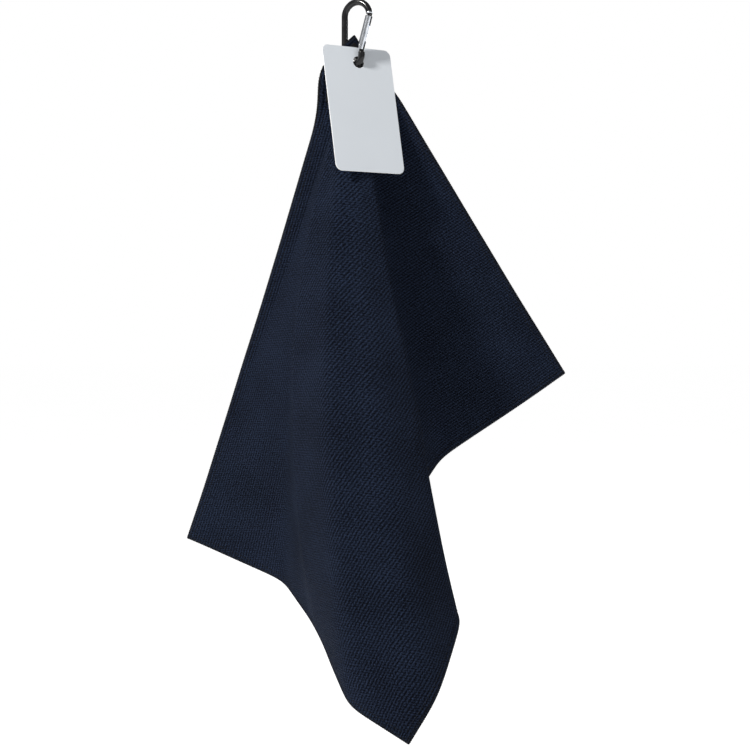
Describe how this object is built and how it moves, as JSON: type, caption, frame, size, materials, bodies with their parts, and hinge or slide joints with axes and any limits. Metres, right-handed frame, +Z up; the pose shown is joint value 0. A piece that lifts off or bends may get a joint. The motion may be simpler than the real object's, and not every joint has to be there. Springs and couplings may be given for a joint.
{
  "type": "golf towel",
  "caption": "Folded rectangular golf towel hung by one corner eyelet on a small key carabiner, with a blank card hang tag in front.",
  "frame": {"origin": "bearing point inside the carabiner's top bend, where a bag's ring carries the towel", "axes": "+Z up against gravity, -Y towards the viewer who sees the tag, +X to that viewer's right"},
  "size_m": [0.2968, 0.1862, 0.5221],
  "materials": {
    "black_metal": "glossy black coating",
    "bright_metal": "polished silver",
    "steel": "plain steel",
    "microfibre": "ribbed navy microfibre",
    "hem_thread": "dark overlock thread",
    "patch_fabric": "matt black",
    "card": "plain white card"
  },
  "bodies": {
    "carabiner": {"carabiner_frame": "black_metal", "gate_pivot_rivet": "steel"},
    "gate": {"carabiner_gate": "bright_metal", "gate_nose_pin": "steel", "gate_spring": "steel"},
    "plunger": {"gate_plunger": "steel"},
    "hang_tag": {"hang_tag": "card"},
    "towel": {"towel_cloth": "microfibre", "hem_top_left": "hem_thread", "hem_top_right": "hem_thread", "hem_bottom_left": "hem_thread", "hem_bottom_right": "hem_thread", "corner_patch_front": "patch_fabric", "corner_patch_back": "patch_fabric", "eyelet_barrel": "black_metal", "eyelet_washer": "black_metal"}
  },
  "joints": [
    {"name": "gate_open", "type": "hinge", "parent": "carabiner", "child": "gate", "pos_m": [0.00312, -0.00159, -0.0294], "axis": [-0.454, -0.891, 0], "range_deg": [0, 25], "stiffness_Nm_per_rad": 0.02, "springref_deg": -11.46},
    {"name": "plunger_push", "type": "slide", "parent": "gate", "child": "plunger", "axis": [0.2522, -0.1285, 0.9591], "range_m": [0, 0.0006]},
    {"name": "tag_swing", "type": "hinge", "parent": "carabiner", "child": "hang_tag", "pos_m": [0.0008, -0.0008, -0.0414], "axis": [-0.5399, 0.84, -0.0549], "range_deg": [0, 25]},
    {"name": "towel_swing", "type": "hinge", "parent": "carabiner", "child": "towel", "pos_m": [-0.0035, 0.00175, -0.04405], "axis": [0.5877, -0.8089, 0.0175], "range_deg": [-2, 10]}
  ],
  "couplings": [
    {"joint": "plunger_push", "follows": "gate_open", "m_per_rad": 0.001375}
  ]
}
